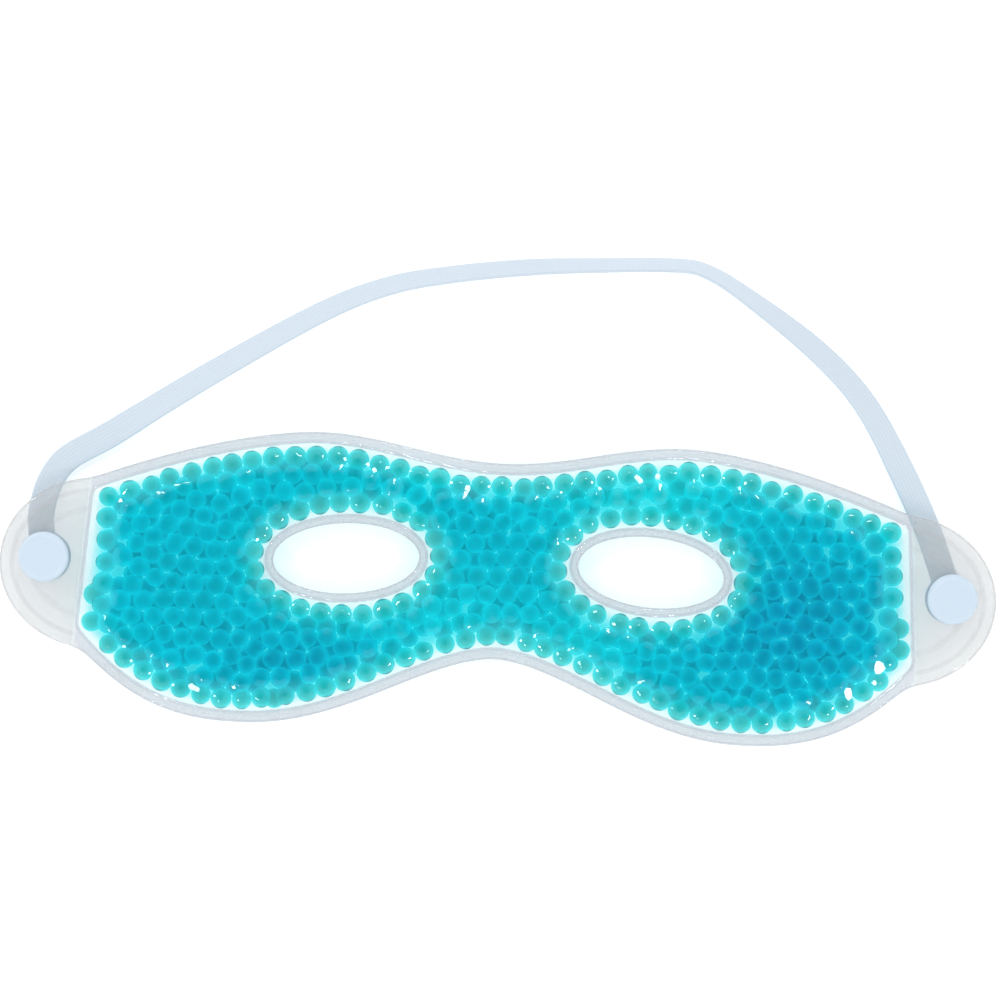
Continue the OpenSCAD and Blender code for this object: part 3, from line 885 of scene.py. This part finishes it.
flat, tris = film_mesh(OUTLINE)
pouch = pouch_loop(END_REACH - SEAM_W, 120)
marks = {
    "inset": INSET.at(flat),
    "edge": edge_field(OUTLINE).at(flat),
    "tab": np.where(inside(flat, pouch), -1, 1) * distance(flat, pouch),
}
for name, node, sign, limit in (
        ("film_front", "front_film", 1, TOP_Z - FILM_T - SEAM_Z),
        ("film_back", "back_film", -1, SEAM_Z - FILM_T)):
    drape = draped(centres, radii, INSET, sign, limit)
    piece = film_piece(name, node, flat, tris, drape.at(flat), sign, marks,
                       film_material(name))

# ---- press studs ----
plastic = plastic_material()
POST = 1.3
RIVET = 1.9
RIVET_T = 0.4
HOLE = POST_R
SOCKET_WEB = 0.6
BORE = 2.65
KNOB = 2.6
RECESS = 1.95
RECESS_T = 0.45
STUD_BASE = 1.0
CAP_T = 1.3
CAP_ROUND = 0.45
DISH_FROM, DISH_TO = 0.9, 1.3    # how far inside its edge a cap's face starts to dip, and ends
DISH = {"cap": 0.12, "back": 0.08}
for side, label in ((-1, "left"), (1, "right")):
    top, under = CAP_HIGH[2], CAP_HIGH[2] - CAP_T
    tip = CAP_LOW[2]
    lathe(label + "_stud_cap", label + "_cap", side, [
        (0, top - DISH["cap"]), (CAP_R - DISH_TO, top - DISH["cap"]), (CAP_R - DISH_FROM, top),
        (CAP_R - CAP_ROUND, top), (CAP_R, top - CAP_ROUND), (CAP_R, under), (POST, under),
        (POST, tip + RIVET_T), (RIVET, tip + RIVET_T), (RIVET, tip), (0, tip)],
        "mask", plastic)
    low, high = SOCKET_LOW[2], SOCKET_HIGH[2]
    lathe(label + "_socket_ring", label + "_socket", side, [
        (SOCKET_R, low), (SOCKET_R, high), (HOLE, high), (HOLE, high - SOCKET_WEB),
        (BORE, high - SOCKET_WEB), (BORE, low)], "mask", plastic)
    low, high = STUD_LOW[2], STUD_HIGH[2]
    lathe(label + "_stud_knob", label + "_stud", side, [
        (STUD_R, low), (STUD_R, low + STUD_BASE), (KNOB, low + STUD_BASE), (KNOB, high),
        (RECESS, high), (RECESS, high - RECESS_T), (HOLE, high - RECESS_T), (HOLE, low)],
        label + "_snap", plastic)
    tip = BACK_CAP_HIGH[2]
    lathe(label + "_stud_back", label + "_back_cap", side, [
        (0, DISH["back"]), (CAP_R - DISH_TO, DISH["back"]), (CAP_R - DISH_FROM, 0),
        (CAP_R - CAP_ROUND, 0), (CAP_R, CAP_ROUND), (CAP_R, CAP_T), (POST, CAP_T),
        (POST, tip - RIVET_T), (RIVET, tip - RIVET_T), (RIVET, tip), (0, tip)],
        label + "_snap", plastic)

# ---- strap ----
strap = strap_piece(elastic_material())
for side in (-1, 1):
    bpy.ops.mesh.primitive_cylinder_add(vertices=48, radius=POST_R * MM, depth=0.01,
                                        location=(side * SNAP_X * MM, SNAP_Y * MM, STRAP_Z * MM))
    punch = bpy.context.object
    cut = strap.modifiers.new("hole", "BOOLEAN")
    cut.operation, cut.object, cut.solver = "DIFFERENCE", punch, "EXACT"
    with bpy.context.temp_override(object=strap, active_object=strap):
        bpy.ops.object.modifier_apply(modifier=cut.name)
    bpy.data.objects.remove(punch)
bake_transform(strap)

# ---- stage, lights and camera ----
# Each lamp's x and y in metres and its watts
LAMPS = [(-0.6, 0.45, 1.5), (0.55, -0.45, 1.3), (0.1, 0.65, 0.9), (-0.35, -0.6, 0.9)]
LAMP_Z = 0.8
LAMP_SIZE = 0.12
FLOOR_GLOW = 0.42
FLOOR_DROP = 0.0001
# Brightness of the sky, from the sides to straight overhead, by the height of the direction
SKY = {"From Min": 0.82, "From Max": 0.95, "To Min": 1.02, "To Max": 0.1}
CAMERA_AT = (-0.0004, 0.0157, 1.005)
CAMERA_TURN = 2.7
CAMERA_LENS = 150
scene = bpy.context.scene


def area_light(name, place, aim, size, power):
    light = bpy.data.lights.new(name, "AREA")
    light.shape, light.size, light.energy = "DISK", size, power
    obj = bpy.data.objects.new(name, light)
    scene.collection.objects.link(obj)
    obj.location = place
    obj.rotation_euler = (Vector(aim) - Vector(place)).to_track_quat("-Z", "Y").to_euler()


floor_mat, add, out, _ = material("floor")
# The table glows a little, as a light table does, so that nothing throws a hard shadow
glow = add("Emission", Color=(1, 1, 1, 1), Strength=FLOOR_GLOW)
both = add("AddShader")
for k, shader in enumerate((glow, add("BsdfDiffuse", Color=(0.8, 0.8, 0.8, 1)))):
    both.id_data.links.new(shader.outputs[0], both.inputs[k])
out(both.outputs[0])
bpy.ops.mesh.primitive_plane_add(size=4, location=(0, 0, -FLOOR_DROP))
floor = bpy.context.object
floor.name = "floor"
floor.data.materials.append(floor_mat)

world = bpy.data.worlds.new("studio")
scene.world = world
world.use_nodes = True
world.node_tree.nodes["Background"].inputs["Color"].default_value = (1, 1, 1, 1)
# White all round, darker straight overhead, where the camera hangs
sky = world.node_tree
place = sky.nodes.new("ShaderNodeTexCoord")
part = sky.nodes.new("ShaderNodeSeparateXYZ")
fade = sky.nodes.new("ShaderNodeMapRange")
fade.interpolation_type = "SMOOTHSTEP"
for key, value in SKY.items():
    fade.inputs[key].default_value = value
sky.links.new(place.outputs["Generated"], part.inputs[0])
sky.links.new(part.outputs["Z"], fade.inputs["Value"])
sky.links.new(fade.outputs[0], sky.nodes["Background"].inputs["Strength"])
for k, (x, y, power) in enumerate(LAMPS):
    area_light("lamp_%d" % k, (x, y, LAMP_Z), (0, 0, 0), LAMP_SIZE, power)
scene.cycles.max_bounces = 16
scene.cycles.transparent_max_bounces = 24

scene.view_settings.view_transform = "Standard"
scene.view_settings.look = "None"
scene.view_settings.exposure = 0
scene.view_settings.gamma = 1

camera = bpy.data.objects.new("camera", bpy.data.cameras.new("camera"))
scene.collection.objects.link(camera)
camera.data.sensor_width = 36
camera.data.lens = CAMERA_LENS
camera.location = CAMERA_AT
camera.rotation_euler = (0, 0, math.radians(CAMERA_TURN))
camera.data.clip_start, camera.data.clip_end = 0.05, 10
scene.camera = camera
